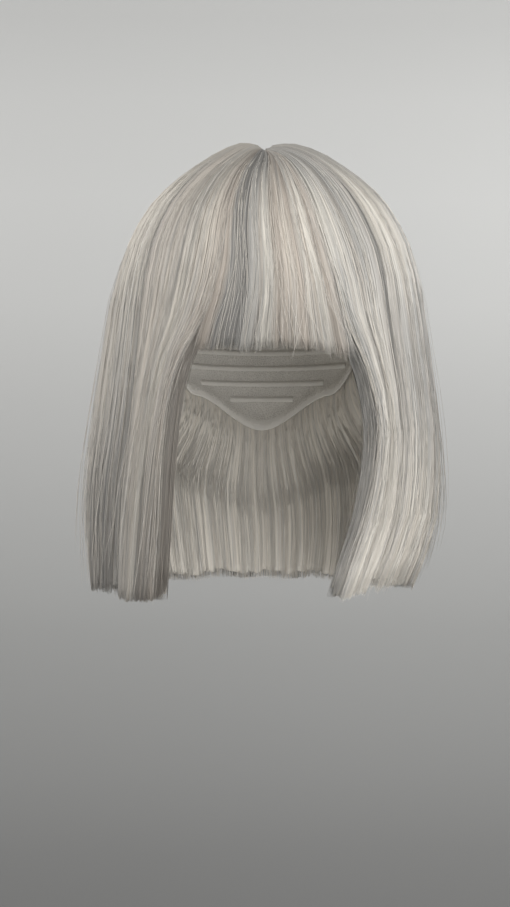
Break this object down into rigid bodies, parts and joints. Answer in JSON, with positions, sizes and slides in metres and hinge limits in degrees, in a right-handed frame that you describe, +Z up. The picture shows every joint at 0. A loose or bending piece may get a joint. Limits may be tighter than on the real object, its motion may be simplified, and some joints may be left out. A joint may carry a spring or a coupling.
{
  "type": "bob wig with a straight fringe",
  "caption": "Straight bob wig with a full fringe and a centre parting, on a hollow cap, with the hair in locks down to a blunt hem.",
  "frame": {"origin": "the crown of the head that wears the wig, where it meets the inside of the cap", "axes": "+Z up, the face opening looks along -Y, +X is the viewer's right as seen from in front"},
  "size_m": [0.2452, 0.2269, 0.3121],
  "materials": {
    "hair": "pale ash blonde synthetic fibre with a soft satin sheen",
    "cap_net": "pale matt net with bands sewn on",
    "parting_skin": "matt skin-toned strip"
  },
  "bodies": {
    "root": {"cap": "cap_net", "parting": "parting_skin", "fringe": "hair", "front_lock_left": "hair", "front_lock_right": "hair", "side_left": "hair", "side_right": "hair", "back": "hair"}
  },
  "joints": []
}
